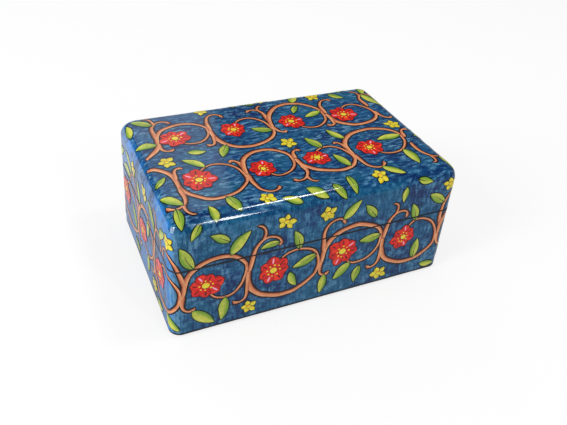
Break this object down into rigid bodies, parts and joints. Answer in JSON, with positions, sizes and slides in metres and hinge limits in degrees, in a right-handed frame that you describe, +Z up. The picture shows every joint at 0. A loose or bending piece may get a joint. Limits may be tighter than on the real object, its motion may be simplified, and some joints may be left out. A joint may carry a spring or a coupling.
{
  "type": "painted wooden jewelry box",
  "caption": "Small rectangular wooden box with a hinged lid, rounded edges, glossy painted outside and padded cloth lining.",
  "frame": {"origin": "centre of the underside, at table level, under the middle of the closed box", "axes": "+Z up, -Y out of the front, +X to the right seen from the front, hinges along X at the back"},
  "size_m": [0.15, 0.101, 0.066],
  "materials": {
    "painted_wood": "hand-painted mottled blue with a scrolling vine pattern under clear gloss lacquer",
    "velvet": "short cotton velvet over card and wadding",
    "felt": "pressed felt",
    "brass": "satin, slightly tarnished"
  },
  "bodies": {
    "base": {"base_front_wall": "painted_wood", "base_back_wall": "painted_wood", "base_left_wall": "painted_wood", "base_right_wall": "painted_wood", "base_floor_board": "painted_wood", "base_front_liner": "velvet", "base_back_liner": "velvet", "base_left_liner": "velvet", "base_right_liner": "velvet", "base_floor_pad": "velvet", "underside_felt": "felt", "hinge_left_base_leaf": "brass", "hinge_left_base_screws": "brass", "hinge_left_pin": "brass", "hinge_right_base_leaf": "brass", "hinge_right_base_screws": "brass", "hinge_right_pin": "brass"},
    "lid": {"lid_front_wall": "painted_wood", "lid_back_wall": "painted_wood", "lid_left_wall": "painted_wood", "lid_right_wall": "painted_wood", "lid_top_board": "painted_wood", "lid_pad": "velvet", "hinge_left_lid_leaf": "brass", "hinge_left_lid_screws": "brass", "hinge_right_lid_leaf": "brass", "hinge_right_lid_screws": "brass"}
  },
  "joints": [
    {"name": "lid_hinge", "type": "hinge", "parent": "base", "child": "lid", "pos_m": [0, 0.0496, 0.04], "axis": [-1, 0, 0], "range_deg": [0, 100]}
  ]
}
